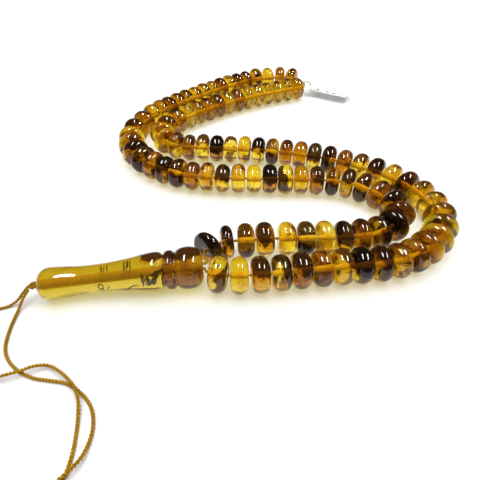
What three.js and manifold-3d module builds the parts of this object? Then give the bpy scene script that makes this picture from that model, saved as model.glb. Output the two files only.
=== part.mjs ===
// Misbaha: a string of round-rimmed beads on one doubled thread, closed by a long turned imam
// with a knot at its tip and two loose thread tails. A small card tag hangs on the far turn.
// Millimetres, +Z up, laid on the plane z = 0.

import * as THREE from 'three';
import { mergeVertices } from 'three/addons/utils/BufferGeometryUtils.js';
import Module from 'manifold-3d';

const wasm = await Module();
wasm.setup();

// The middle of the laid-out string in the coordinates of the route points.
const CENTRE = new THREE.Vector3(0.45, 0.45, 0);

// Beads: discs with a full round rim, turned with a flat facet underneath.
const BEAD_RADIUS = 5.0;
const BEAD_FACETS = 10;
const BEAD_MAX_THICKNESS = 5.3;
const BEAD_GAP = 0.3;
const BEAD_FACE_RADIUS = 2.2;
const BEAD_RIM_FLAT = 0.5;
const BORE_RADIUS = 0.75;
const JOINED_OVERLAP = 0.1;

// Thread.
const THREAD_RADIUS = 0.42;
const THREAD_SIDES = 8;
const LAID_HEIGHT = 0.5;

// Imam: centres of its two end faces, and its turned outline as [share of length, radius].
const IMAM_TIP = new THREE.Vector3(-55.3, -67.8, 4.39);
const IMAM_END = new THREE.Vector3(-14.6, -62.5, 5.8);
const IMAM_BORE_RADIUS = 1.0;
const IMAM_FACETS = 16;
const IMAM_OUTLINE = [
  [0.0, 2.9], [0.02, 3.7], [0.055, 4.25], [0.13, 4.1], [0.28, 3.62], [0.42, 3.72],
  [0.55, 4.35], [0.66, 4.95], [0.71, 5.05], [0.745, 4.7], [0.76, 4.2],
  [0.775, 5.0], [0.81, 5.1], [0.83, 4.5], [0.85, 5.05], [0.89, 5.5], [0.93, 5.5],
  [0.97, 4.9], [1.0, 3.4],
];
const STRAND_OFFSET = 0.47;
const STRAND_REACH = 0.2;
const STRAND_TURN_P = [-13.9, -63.5];
const STRAND_TURN_Q = [-13.3, -60.0];

// Knots: the one at the imam's tip and the one that ties the two tails together.
const KNOT_RADIUS = 1.3;
const KNOT_LENGTH = 2.3;
const KNOT_CLEARANCE = 0.5;
const TAIL_KNOT = new THREE.Vector3(-39.9, -115.4, 1.35);

// Card tag and its loop, with the loop's ends on the thread and in the tag's hole.
const TAG_LENGTH = 21;
const TAG_WIDTH = 9;
const TAG_THICKNESS = 0.4;
const TAG_HOLE_RADIUS = 1.1;
const TAG_HOLE_INSET = 2.0;
const TAG_HOLE = new THREE.Vector3(29.3, 61.0, 3.7);
const TAG_TIP = new THREE.Vector3(46.5, 51.4, 2.7);
const LOOP_TOP = new THREE.Vector3(25.7, 59.4, 5.0);
const LOOP_BOTTOM = new THREE.Vector3(28.4, 60.6, 4.0);
const LOOP_MARGIN = 0.75;
const LOOP_HALF_WIDTH = 1.3;
const LOOP_TUBE_RADIUS = 0.22;

// Routes of the two strands of beads, from the imam to the far turn, as [x, y] on the bead axis.
const BEAD_HEIGHT = BEAD_RADIUS;
const ROUTE_P = [
  [-14.0, -64.0], [-11.0, -64.9], [-5.5, -65.2], [0.6, -64.8], [11.0, -63.3], [21.7, -62.0],
  [32.0, -60.9], [38.5, -59.4], [45.6, -55.4], [50.4, -51.0], [53.6, -45.8], [54.9, -40.0],
  [54.2, -34.5], [51.8, -28.4], [47.0, -21.7], [41.3, -17.0], [32.0, -11.2], [21.8, -7.2],
  [11.6, -4.2], [1.2, -2.5], [-9.0, -1.6], [-19.0, -0.9], [-25.5, -0.4], [-31.0, 1.8],
  [-34.8, 5.8], [-35.8, 10.8], [-34.0, 16.4], [-30.0, 21.8], [-23.3, 28.3], [-15.5, 34.6],
  [-7.1, 40.4], [1.8, 45.6], [10.8, 49.8], [21.8, 54.3], [25.5, 56.5],
];
const ROUTE_Q = [
  [-14.0, -62.3], [-13.5, -59.8], [-15.4, -57.0], [-13.2, -54.1], [-9.6, -52.4], [-3.7, -51.9],
  [6.7, -51.0], [17.1, -50.8], [27.5, -50.4], [34.5, -48.6], [40.0, -45.4], [43.0, -41.0], [43.5, -36.3],
  [40.3, -31.3], [35.8, -26.9], [30.0, -23.5], [20.5, -22.0], [10.5, -21.6], [0.0, -21.3],
  [-10.6, -21.0], [-20.0, -19.8], [-28.0, -17.2], [-35.5, -12.8], [-41.8, -6.4], [-45.6, 0.8],
  [-47.0, 8.5], [-45.8, 15.5], [-42.8, 22.8], [-38.4, 29.4], [-32.3, 36.8], [-25.4, 43.8],
  [-18.0, 50.6], [-10.6, 56.8], [-2.2, 62.8], [6.2, 66.4], [14.7, 67.6], [20.8, 66.2],
  [25.0, 62.2],
];

// Beads along each strand in runs of [count, pitch]. A run [0, length] is bare thread.
const START_P = 0.9;
const RUNS_P = [[7, 5.4], [6, 5.2], [7, 5.79], [3, 5.55], [11, 5.13], [4, 6.4], [12, 5.15]];
const START_Q = 5.9;
const RUNS_Q = [
  [1, 5.45], [0, 0.6], [3, 5.35], [0, 0.9], [5, 5.3], [5, 5.95],
  [15, 5.22], [4, 5.9], [2, 7.2], [12, 4.97], [4, 6.1],
];

// Stretches of neighbouring beads that are made as one solid, as [first, last] bead numbers.
const JOINED_P = [[17, 24], [25, 33], [39, 49]];
const JOINED_Q = [[15, 22], [23, 31], [36, 47]];

// The bare thread round the far turn, between the last beads of the two strands.
const FAR_TURN = [[25.5, 57.6], [26.0, 59.4], [25.7, 61.4]];

// The two loose tails, as [x, y, z] on the thread's axis, from the imam's knot to their own knot.
const LIFTED = 1.5;
const TAIL_A = [
  [-58.4, -67.9, 4.1], [-59.7, -68.9, 2.9], [-61.2, -70.3, 1.4], [-63.3, -71.5, LAID_HEIGHT],
  [-66.8, -72.8, LAID_HEIGHT], [-70.6, -75.6, LAID_HEIGHT], [-72.4, -80.0, LAID_HEIGHT],
  [-71.6, -84.8, LAID_HEIGHT], [-68.4, -88.6, LAID_HEIGHT], [-63.8, -91.0, LAID_HEIGHT],
  [-59.6, -91.6, 0.7], [-56.0, -91.0, LIFTED], [-52.9, -90.0, LIFTED], [-50.2, -88.8, LIFTED],
  [-47.4, -88.3, 1.0], [-44.6, -89.7, LIFTED], [-42.2, -91.4, LIFTED], [-39.8, -93.7, LIFTED],
  [-38.2, -96.4, LIFTED], [-37.5, -99.6, 0.7], [-36.9, -103.4, LAID_HEIGHT],
  [-36.6, -107.0, LAID_HEIGHT], [-36.8, -110.0, LAID_HEIGHT], [-37.7, -112.6, 0.6],
  [-38.9, -114.0, 1.1],
];
const TAIL_B = [
  [-58.2, -68.8, 3.7], [-59.4, -70.4, 2.3], [-60.1, -72.9, 0.8], [-60.2, -76.4, LAID_HEIGHT],
  [-59.8, -80.2, LAID_HEIGHT], [-58.9, -83.8, LAID_HEIGHT], [-56.8, -86.9, LAID_HEIGHT],
  [-53.5, -89.4, LAID_HEIGHT], [-49.8, -91.0, LAID_HEIGHT], [-46.0, -91.6, LAID_HEIGHT],
  [-42.5, -92.2, LAID_HEIGHT], [-40.0, -93.4, LAID_HEIGHT], [-37.1, -95.6, LAID_HEIGHT],
  [-35.0, -98.4, LAID_HEIGHT], [-34.0, -101.8, 0.5], [-34.0, -104.8, 0.7], [-34.6, -107.6, 1.2],
  [-36.0, -109.8, LIFTED], [-38.0, -111.9, LIFTED], [-40.0, -113.8, LIFTED],
];
const TAIL_STEP = 1.75;

const amber = material(0xb9780f, 0.18);
const darkAmber = material(0x5a2a0a, 0.2);
const clearAmber = material(0xd8a81e, 0.15);
const threadMaterial = material(0xc8871a, 0.85);
const cardMaterial = material(0xf2f2ee, 0.8);

function material(color, roughness) {
  return new THREE.MeshStandardMaterial({ color, roughness, metalness: 0 });
}

// A curve through straight segments, whose equal parameter steps land on its vertices.
class Polyline extends THREE.Curve {
  constructor(vertices) {
    super();
    this.vertices = vertices;
  }

  getPoint(t) {
    const last = this.vertices.length - 1;
    const place = t * last;
    const index = Math.min(Math.floor(place), last - 1);
    return this.vertices[index].clone().lerp(this.vertices[index + 1], place - index);
  }

  getPointAt(u) {
    return this.getPoint(u);
  }

  getTangentAt(u) {
    const last = this.vertices.length - 1;
    const index = Math.round(u * last);
    const before = this.vertices[Math.max(index - 1, 0)];
    const here = this.vertices[index];
    const after = this.vertices[Math.min(index + 1, last)];
    const incoming = here.clone().sub(before).normalize();
    const outgoing = after.clone().sub(here).normalize();
    return incoming.add(outgoing).normalize();
  }
}

// A round section swept through the vertices.
function tube(vertices, radius, sides) {
  const section = new THREE.Shape();
  for (let side = 0; side < sides; side += 1) {
    const angle = (2 * Math.PI * side) / sides;
    const x = radius * Math.cos(angle);
    const y = radius * Math.sin(angle);
    if (side === 0) {
      section.moveTo(x, y);
    } else {
      section.lineTo(x, y);
    }
  }
  section.closePath();
  return new THREE.ExtrudeGeometry(section, {
    steps: vertices.length - 1,
    extrudePath: new Polyline(vertices),
    bevelEnabled: false,
  });
}

// Turns [radius, height] pairs about the local Y axis, with a facet facing local -Z and +Z.
function turned(pairs, facets) {
  const points = pairs.map(([radius, height]) => new THREE.Vector2(radius, height));
  return new THREE.LatheGeometry(points, facets, Math.PI / facets);
}

// Stands local Y along a direction and keeps local Z as near to straight up as it can be.
function alignTo(direction) {
  const y = direction.clone().normalize();
  const x = new THREE.Vector3().crossVectors(y, new THREE.Vector3(0, 0, 1)).normalize();
  const z = new THREE.Vector3().crossVectors(x, y);
  return new THREE.Matrix4().makeBasis(x, y, z);
}

function toManifold(geometry) {
  const bare = geometry.clone();
  bare.deleteAttribute('normal');
  bare.deleteAttribute('uv');
  const merged = mergeVertices(bare, 1e-4);
  return new wasm.Manifold(new wasm.Mesh({
    numProp: 3,
    vertProperties: new Float32Array(merged.attributes.position.array),
    triVerts: new Uint32Array(merged.index.array),
  }));
}

function fromManifold(solid) {
  const mesh = solid.getMesh();
  const geometry = new THREE.BufferGeometry();
  geometry.setAttribute('position', new THREE.BufferAttribute(new Float32Array(mesh.vertProperties), 3));
  geometry.setIndex(new THREE.BufferAttribute(new Uint32Array(mesh.triVerts), 1));
  geometry.computeVertexNormals();
  return geometry;
}

// The corner radius that puts the middle of each facet at the given radius.
function apexRadius(radius) {
  return radius / Math.cos(Math.PI / BEAD_FACETS);
}

// A bead's outline from one end face round the rim to the other, which lie below and above its middle.
function beadOutline(below, above) {
  return [
    [BEAD_FACE_RADIUS, -below],
    [apexRadius(BEAD_RADIUS), -below * BEAD_RIM_FLAT],
    [apexRadius(BEAD_RADIUS), above * BEAD_RIM_FLAT],
    [BEAD_FACE_RADIUS, above],
  ];
}

function boredBead(thickness) {
  const half = thickness / 2;
  const foot = [BORE_RADIUS, -half];
  return turned([foot, ...beadOutline(half, half), [BORE_RADIUS, half], foot], BEAD_FACETS);
}

function solidBead(below, above) {
  return turned([[0, -below], ...beadOutline(below, above), [0, above]], BEAD_FACETS);
}

// The angle between the axes of two beads, or none at the end of a strand.
function turnBetween(bead, neighbour) {
  return neighbour ? bead.axis.angleTo(neighbour.axis) : 0;
}

// Leaves each bead clear of its neighbours on the inner side of the bend that it sits in.
function fitThickness(beads) {
  beads.forEach((bead, index) => {
    const turn = Math.max(turnBetween(bead, beads[index - 1]), turnBetween(bead, beads[index + 1]));
    const spacing = bead.from.distanceTo(bead.to) * Math.cos(turn / 2);
    const room = spacing - BEAD_GAP - 2 * BEAD_FACE_RADIUS * Math.sin(turn / 2);
    bead.thickness = Math.min(room, BEAD_MAX_THICKNESS);
  });
}

// Walks a route and returns the ends of every bead's own stretch of thread.
function placeBeads(route, start, runs) {
  const points = route.map(([x, y]) => new THREE.Vector3(x, y, BEAD_HEIGHT));
  const curve = new THREE.CatmullRomCurve3(points, false, 'centripetal');
  curve.arcLengthDivisions = 2000;
  const length = curve.getLength();
  const beads = [];
  let place = start;
  for (const [count, pitch] of runs) {
    if (count === 0) {
      place += pitch;
    }
    for (let index = 0; index < count; index += 1) {
      const from = curve.getPointAt(place / length);
      place += pitch;
      const to = curve.getPointAt(place / length);
      const axis = to.clone().sub(from).normalize();
      const middle = from.clone().add(to).multiplyScalar(0.5);
      beads.push({ from, to, axis, middle, pitch });
    }
  }
  fitThickness(beads);
  return beads;
}

function beadName(strand, number) {
  return `bead_${strand}${String(number).padStart(2, '0')}`;
}

function singleBead(bead, name) {
  const mesh = new THREE.Mesh(boredBead(bead.thickness), amber);
  mesh.applyMatrix4(alignTo(bead.axis));
  mesh.position.copy(bead.middle);
  mesh.name = name;
  return mesh;
}

// Neighbouring beads as one solid: their faces reach into each other, and one bore follows the thread.
function joinedBeads(beads, name) {
  const last = beads.length - 1;
  let solid = null;
  beads.forEach((bead, index) => {
    const joined = (bead.pitch + JOINED_OVERLAP) / 2;
    const below = index === 0 ? bead.thickness / 2 : joined;
    const above = index === last ? bead.thickness / 2 : joined;
    const geometry = solidBead(below, above);
    geometry.applyMatrix4(alignTo(bead.axis).setPosition(bead.middle));
    const disc = toManifold(geometry);
    solid = solid === null ? disc : solid.add(disc);
  });
  const before = beads[0].from.clone().addScaledVector(beads[0].axis, -BORE_RADIUS);
  const after = beads[last].to.clone().addScaledVector(beads[last].axis, BORE_RADIUS);
  const bore = [before, ...beads.map((bead) => bead.from), beads[last].to, after];
  const cut = solid.subtract(toManifold(tube(bore, BORE_RADIUS, THREAD_SIDES)));
  const mesh = new THREE.Mesh(fromManifold(cut), darkAmber);
  mesh.name = name;
  return mesh;
}

function strandMeshes(strand, beads, joined) {
  const meshes = [];
  let number = 1;
  while (number <= beads.length) {
    const run = joined.find(([first]) => first === number);
    if (run) {
      const [first, last] = run;
      meshes.push(joinedBeads(beads.slice(first - 1, last), `beads_${strand}${first}_${last}`));
      number = last + 1;
    } else {
      meshes.push(singleBead(beads[number - 1], beadName(strand, number)));
      number += 1;
    }
  }
  return meshes;
}

const imamAxis = IMAM_END.clone().sub(IMAM_TIP);
const imamLength = imamAxis.length();
const imamFrame = alignTo(imamAxis);

function imam() {
  const outline = IMAM_OUTLINE.map(([share, radius]) => [radius, share * imamLength]);
  const foot = [IMAM_BORE_RADIUS, 0];
  const mesh = new THREE.Mesh(turned([foot, ...outline, [IMAM_BORE_RADIUS, imamLength], foot], IMAM_FACETS),
    clearAmber);
  mesh.applyMatrix4(imamFrame);
  mesh.position.copy(IMAM_TIP);
  mesh.name = 'imam';
  return mesh;
}

// A point inside the imam's bore: a distance along it from the tip and a step to its side.
function inImam(along, aside) {
  return new THREE.Vector3(aside, along, 0).applyMatrix4(imamFrame).add(IMAM_TIP);
}

// The whole held thread: in through the imam, out along one strand, back along the other.
function thread(beadsP, beadsQ) {
  const turn = FAR_TURN.map(([x, y]) => new THREE.Vector3(x, y, BEAD_HEIGHT));
  const out = [beadsP[0].from];
  for (const bead of beadsP) {
    out.push(bead.to);
  }
  const back = [beadsQ[0].from];
  for (const bead of beadsQ) {
    if (bead.from.distanceTo(back[back.length - 1]) > BEAD_GAP) {
      back.push(bead.from);
    }
    back.push(bead.to);
  }
  back.reverse();
  const vertices = [
    inImam(-STRAND_REACH, STRAND_OFFSET),
    inImam(imamLength + STRAND_REACH, STRAND_OFFSET),
    new THREE.Vector3(...STRAND_TURN_P, BEAD_HEIGHT),
    ...out,
    ...turn,
    ...back,
    new THREE.Vector3(...STRAND_TURN_Q, BEAD_HEIGHT),
    inImam(imamLength + STRAND_REACH, -STRAND_OFFSET),
    inImam(-STRAND_REACH, -STRAND_OFFSET),
  ];
  const mesh = new THREE.Mesh(tube(vertices, THREAD_RADIUS, THREAD_SIDES), threadMaterial);
  mesh.name = 'thread';
  return mesh;
}

function knot(name) {
  const half = KNOT_LENGTH / 2;
  const outline = [
    [0, -half], [KNOT_RADIUS * 0.6, -half], [KNOT_RADIUS, -half * 0.4],
    [KNOT_RADIUS, half * 0.4], [KNOT_RADIUS * 0.6, half], [0, half],
  ];
  const mesh = new THREE.Mesh(turned(outline, BEAD_FACETS), threadMaterial);
  mesh.name = name;
  return mesh;
}

function imamKnot() {
  const mesh = knot('imam_knot');
  mesh.applyMatrix4(imamFrame);
  mesh.position.copy(inImam(-KNOT_CLEARANCE - KNOT_LENGTH / 2, 0));
  return mesh;
}

function tailKnot() {
  const mesh = knot('tail_knot');
  const [x, y] = TAIL_A[TAIL_A.length - 1];
  mesh.applyMatrix4(alignTo(new THREE.Vector3(TAIL_KNOT.x - x, TAIL_KNOT.y - y, 0)));
  mesh.position.copy(TAIL_KNOT);
  return mesh;
}

function tail(points, name) {
  const curve = new THREE.CatmullRomCurve3(points.map((point) => new THREE.Vector3(...point)), false,
    'centripetal');
  const steps = Math.round(curve.getLength() / TAIL_STEP);
  const mesh = new THREE.Mesh(tube(curve.getSpacedPoints(steps), THREAD_RADIUS, THREAD_SIDES),
    threadMaterial);
  mesh.name = name;
  return mesh;
}

// The card, with its hole near one end; local Y runs from the hole to the far end.
function tag() {
  const card = new THREE.Shape();
  const half = TAG_WIDTH / 2;
  card.moveTo(-half, -TAG_HOLE_INSET);
  card.lineTo(half, -TAG_HOLE_INSET);
  card.lineTo(half, TAG_LENGTH - TAG_HOLE_INSET);
  card.lineTo(-half, TAG_LENGTH - TAG_HOLE_INSET);
  card.closePath();
  const hole = new THREE.Path();
  hole.absarc(0, 0, TAG_HOLE_RADIUS, 0, 2 * Math.PI, true);
  card.holes.push(hole);
  const geometry = new THREE.ExtrudeGeometry(card, {
    depth: TAG_THICKNESS, curveSegments: 8, bevelEnabled: false,
  });
  geometry.translate(0, 0, -TAG_THICKNESS / 2);
  const mesh = new THREE.Mesh(geometry, cardMaterial);
  mesh.applyMatrix4(alignTo(TAG_TIP.clone().sub(TAG_HOLE)));
  mesh.position.copy(TAG_HOLE);
  mesh.name = 'tag';
  return mesh;
}

// A stretched ring that goes round the bare thread and through the tag's hole.
function tagLoop() {
  const axis = LOOP_BOTTOM.clone().sub(LOOP_TOP);
  const halfLength = axis.length() / 2 + LOOP_MARGIN;
  const geometry = new THREE.TorusGeometry(1, LOOP_TUBE_RADIUS, 6, 16);
  const place = geometry.attributes.position;
  for (let index = 0; index < place.count; index += 1) {
    const angle = Math.atan2(place.getY(index), place.getX(index));
    const reach = Math.hypot(place.getX(index), place.getY(index)) - 1;
    place.setX(index, (LOOP_HALF_WIDTH + reach) * Math.cos(angle));
    place.setY(index, (halfLength + reach) * Math.sin(angle));
  }
  geometry.computeVertexNormals();
  const mesh = new THREE.Mesh(geometry, threadMaterial);
  const y = axis.normalize();
  const z = new THREE.Vector3().crossVectors(y, new THREE.Vector3(0, 0, 1)).normalize();
  const x = new THREE.Vector3().crossVectors(y, z);
  mesh.applyMatrix4(new THREE.Matrix4().makeBasis(x, y, z));
  mesh.position.copy(LOOP_TOP).add(LOOP_BOTTOM).multiplyScalar(0.5);
  mesh.name = 'tag_loop';
  return mesh;
}

const beadsP = placeBeads(ROUTE_P, START_P, RUNS_P);
const beadsQ = placeBeads(ROUTE_Q, START_Q, RUNS_Q);

const misbaha = new THREE.Group();
misbaha.position.copy(CENTRE).negate();
misbaha.add(
  thread(beadsP, beadsQ),
  imam(),
  imamKnot(),
  tail(TAIL_A, 'tail_a'),
  tail(TAIL_B, 'tail_b'),
  tailKnot(),
  tagLoop(),
  tag(),
  ...strandMeshes('p', beadsP, JOINED_P),
  ...strandMeshes('q', beadsQ, JOINED_Q),
);

export default misbaha;
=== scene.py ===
# Misbaha prayer beads: glassy amber beads and imam on a twisted thread, laid on a pale surface.

import math
import random

import bpy
from mathutils import Matrix, Vector, noise


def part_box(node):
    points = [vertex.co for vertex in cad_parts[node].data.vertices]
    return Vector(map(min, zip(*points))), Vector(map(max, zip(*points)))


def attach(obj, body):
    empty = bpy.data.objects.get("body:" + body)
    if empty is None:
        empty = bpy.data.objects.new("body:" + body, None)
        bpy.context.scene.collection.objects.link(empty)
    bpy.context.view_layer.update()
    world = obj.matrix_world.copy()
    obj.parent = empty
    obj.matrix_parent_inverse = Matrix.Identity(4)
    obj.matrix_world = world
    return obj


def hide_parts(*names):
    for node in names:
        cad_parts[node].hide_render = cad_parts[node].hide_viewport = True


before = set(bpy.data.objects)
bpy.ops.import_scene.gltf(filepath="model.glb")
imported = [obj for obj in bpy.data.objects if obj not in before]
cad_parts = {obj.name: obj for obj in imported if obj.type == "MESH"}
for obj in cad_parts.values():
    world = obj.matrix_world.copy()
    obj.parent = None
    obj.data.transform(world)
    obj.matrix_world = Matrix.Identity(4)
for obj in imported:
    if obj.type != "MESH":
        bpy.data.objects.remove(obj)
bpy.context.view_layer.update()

MM = 0.001
UP = Vector((0, 0, 1))

# The middle of the laid-out string in the coordinates of the route points, in millimetres.
CENTRE = Vector((0.45, 0.45, 0))

# Routes and runs of beads, in millimetres. The gap between two beads is a little
# closer here than in the parts of model.glb.
BEAD_RADIUS = 5.0
BEAD_GAP = 0.15
BEAD_MAX_THICKNESS = 5.4
BEAD_FACE_RADIUS = 2.2
BEAD_HEIGHT = BEAD_RADIUS
BEAD_SEGMENTS = 48
RIM_STEPS = 18
BORE_RADIUS = 0.55
BORE_BEVEL = 0.2
THREAD_RADIUS = 0.42
LAID = 0.5
LIFTED = 1.5
ROUTE_P = [
    (-14.0, -64.0), (-11.0, -64.9), (-5.5, -65.2), (0.6, -64.8), (11.0, -63.3), (21.7, -62.0),
    (32.0, -60.9), (38.5, -59.4), (45.6, -55.4), (50.4, -51.0), (53.6, -45.8), (54.9, -40.0),
    (54.2, -34.5), (51.8, -28.4), (47.0, -21.7), (41.3, -17.0), (32.0, -11.2), (21.8, -7.2),
    (11.6, -4.2), (1.2, -2.5), (-9.0, -1.6), (-19.0, -0.9), (-25.5, -0.4), (-31.0, 1.8),
    (-34.8, 5.8), (-35.8, 10.8), (-34.0, 16.4), (-30.0, 21.8), (-23.3, 28.3), (-15.5, 34.6),
    (-7.1, 40.4), (1.8, 45.6), (10.8, 49.8), (21.8, 54.3), (25.5, 56.5),
]
ROUTE_Q = [
    (-14.0, -62.3), (-13.5, -59.8), (-15.4, -57.0), (-13.2, -54.1), (-9.6, -52.4), (-3.7, -51.9),
    (6.7, -51.0), (17.1, -50.8), (27.5, -50.4), (34.5, -48.6), (40.0, -45.4), (43.0, -41.0),
    (43.5, -36.3), (40.3, -31.3), (35.8, -26.9), (30.0, -23.5), (20.5, -22.0), (10.5, -21.6),
    (0.0, -21.3), (-10.6, -21.0), (-20.0, -19.8), (-28.0, -17.2), (-35.5, -12.8), (-41.8, -6.4),
    (-45.6, 0.8), (-47.0, 8.5), (-45.8, 15.5), (-42.8, 22.8), (-38.4, 29.4), (-32.3, 36.8),
    (-25.4, 43.8), (-18.0, 50.6), (-10.6, 56.8), (-2.2, 62.8), (6.2, 66.4), (14.7, 67.6),
    (20.8, 66.2), (25.0, 62.2),
]
START_P = 0.9
START_Q = 5.9
RUNS_P = [(7, 5.4), (6, 5.2), (7, 5.79), (3, 5.55), (11, 5.13), (4, 6.4), (12, 5.15)]
RUNS_Q = [
    (1, 5.45), (0, 0.6), (3, 5.35), (0, 0.9), (5, 5.3), (5, 5.95),
    (15, 5.22), (4, 5.9), (2, 7.2), (12, 4.97), (4, 6.1),
]
JOINED = {"p": [(17, 24), (25, 33), (39, 49)], "q": [(15, 22), (23, 31), (36, 47)]}
FAR_TURN = [(25.5, 57.6), (26.0, 59.4), (25.7, 61.4)]
TAIL_A = [
    (-58.4, -67.9, 4.1), (-59.7, -68.9, 2.9), (-61.2, -70.3, 1.4), (-63.3, -71.5, LAID),
    (-66.8, -72.8, LAID), (-70.6, -75.6, LAID), (-72.4, -80.0, LAID), (-71.6, -84.8, LAID),
    (-68.4, -88.6, LAID), (-63.8, -91.0, LAID), (-59.6, -91.6, 0.7), (-56.0, -91.0, LIFTED),
    (-52.9, -90.0, LIFTED), (-50.2, -88.8, LIFTED), (-47.4, -88.3, 1.0), (-44.6, -89.7, LIFTED),
    (-42.2, -91.4, LIFTED), (-39.8, -93.7, LIFTED), (-38.2, -96.4, LIFTED), (-37.5, -99.6, 0.7),
    (-36.9, -103.4, LAID), (-36.6, -107.0, LAID), (-36.8, -110.0, LAID), (-37.7, -112.6, 0.6),
    (-38.9, -114.0, 1.1),
]
TAIL_B = [
    (-58.2, -68.8, 3.7), (-59.4, -70.4, 2.3), (-60.1, -72.9, 0.8), (-60.2, -76.4, LAID),
    (-59.8, -80.2, LAID), (-58.9, -83.8, LAID), (-56.8, -86.9, LAID), (-53.5, -89.4, LAID),
    (-49.8, -91.0, LAID), (-46.0, -91.6, LAID), (-42.5, -92.2, LAID), (-40.0, -93.4, LAID),
    (-37.1, -95.6, LAID), (-35.0, -98.4, LAID), (-34.0, -101.8, 0.5), (-34.0, -104.8, 0.7),
    (-34.6, -107.6, 1.2), (-36.0, -109.8, LIFTED), (-38.0, -111.9, LIFTED), (-40.0, -113.8, LIFTED),
]

# Imam, with its ends as in model.glb, and the two strands of thread in it.
IMAM_TIP = Vector((-55.3, -67.8, 4.39))
IMAM_END = Vector((-14.6, -62.5, 5.8))
IMAM_BORE_RADIUS = 0.84
IMAM_BORE_INSET = 0.35
IMAM_SEGMENTS = 72
STRAND_OFFSET = 0.4
STRAND_REACH = 0.2
KNOT_REACH = 2.9
STRAND_TURN_P = (-13.9, -63.5)
STRAND_TURN_Q = (-13.3, -60.0)

# Camera: foot point and height, pitch below the horizon and lens.
CAMERA_PLACE = Vector((-5.45, -136.45, 82.2))
CAMERA_PITCH = 42.5
CAMERA_LENS = 30.6
CAMERA_SENSOR = 36
CAMERA_NEAR = 5.0


def catmull_rom(points, steps):
    """Samples a centripetal Catmull-Rom curve through the points, with steps to each segment."""
    points = [Vector(p) for p in points]
    points = [2 * points[0] - points[1]] + points + [2 * points[-1] - points[-2]]
    samples = []
    for index in range(1, len(points) - 2):
        p0, p1, p2, p3 = points[index - 1 : index + 3]
        d0 = max((p1 - p0).length, 1e-6) ** 0.5
        d1 = max((p2 - p1).length, 1e-6) ** 0.5
        d2 = max((p3 - p2).length, 1e-6) ** 0.5
        m1 = ((p1 - p0) / d0 - (p2 - p0) / (d0 + d1) + (p2 - p1) / d1) * d1
        m2 = ((p2 - p1) / d1 - (p3 - p1) / (d1 + d2) + (p3 - p2) / d2) * d1
        for step in range(steps):
            t = step / steps
            samples.append(
                (2 * t**3 - 3 * t**2 + 1) * p1
                + (t**3 - 2 * t**2 + t) * m1
                + (3 * t**2 - 2 * t**3) * p2
                + (t**3 - t**2) * m2
            )
    samples.append(points[-2])
    return samples


class Path:
    """A polyline that is read by distance along it."""

    def __init__(self, samples):
        self.samples = samples
        self.lengths = [0.0]
        for before, after in zip(samples, samples[1:]):
            self.lengths.append(self.lengths[-1] + (after - before).length)
        self.length = self.lengths[-1]

    def at(self, distance):
        low, high = 0, len(self.samples) - 1
        while high - low > 1:
            middle = (low + high) // 2
            if self.lengths[middle] <= distance:
                low = middle
            else:
                high = middle
        span = self.lengths[high] - self.lengths[low]
        share = (distance - self.lengths[low]) / span if span else 0.0
        return self.samples[low].lerp(self.samples[high], share)

    def resampled(self, spacing):
        count = max(2, round(self.length / spacing))
        return [self.at(self.length * index / count) for index in range(count + 1)]


def to_frame(point):
    """A route point in millimetres as a point of the shared frame in metres."""
    return (Vector(point) - CENTRE) * MM


def place_beads(route, start, runs):
    """Beads between the gap points along a route, as thick as their neighbours leave room for."""
    path = Path(catmull_rom([(x, y, BEAD_HEIGHT) for x, y in route], 60))
    beads, place = [], start
    for count, pitch in runs:
        if count == 0:
            place += pitch
        for _ in range(count):
            begin = path.at(place)
            place += pitch
            end = path.at(place)
            beads.append({"from": begin, "to": end, "axis": (end - begin).normalized()})
    for index, bead in enumerate(beads):
        near = [beads[i] for i in (index - 1, index + 1) if 0 <= i < len(beads)]
        turn = max(bead["axis"].angle(other["axis"]) for other in near)
        spacing = (bead["to"] - bead["from"]).length * math.cos(turn / 2)
        room = spacing - BEAD_GAP - 2 * BEAD_FACE_RADIUS * math.sin(turn / 2)
        bead["thickness"] = min(room, BEAD_MAX_THICKNESS)
        bead["turn"] = turn
    return beads


BEADS_P = place_beads(ROUTE_P, START_P, RUNS_P)
BEADS_Q = place_beads(ROUTE_Q, START_Q, RUNS_Q)

# ---------------------------------------------------------------- camera


def make_camera():
    data = bpy.data.cameras.new("camera")
    data.lens = CAMERA_LENS
    data.sensor_width = CAMERA_SENSOR
    data.clip_start = CAMERA_NEAR * MM
    camera = bpy.data.objects.new("camera", data)
    camera.location = CAMERA_PLACE * MM
    camera.rotation_euler = (math.radians(90 - CAMERA_PITCH), 0, 0)
    bpy.context.scene.collection.objects.link(camera)
    bpy.context.scene.camera = camera


make_camera()

# ---------------------------------------------------------------- materials


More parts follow.
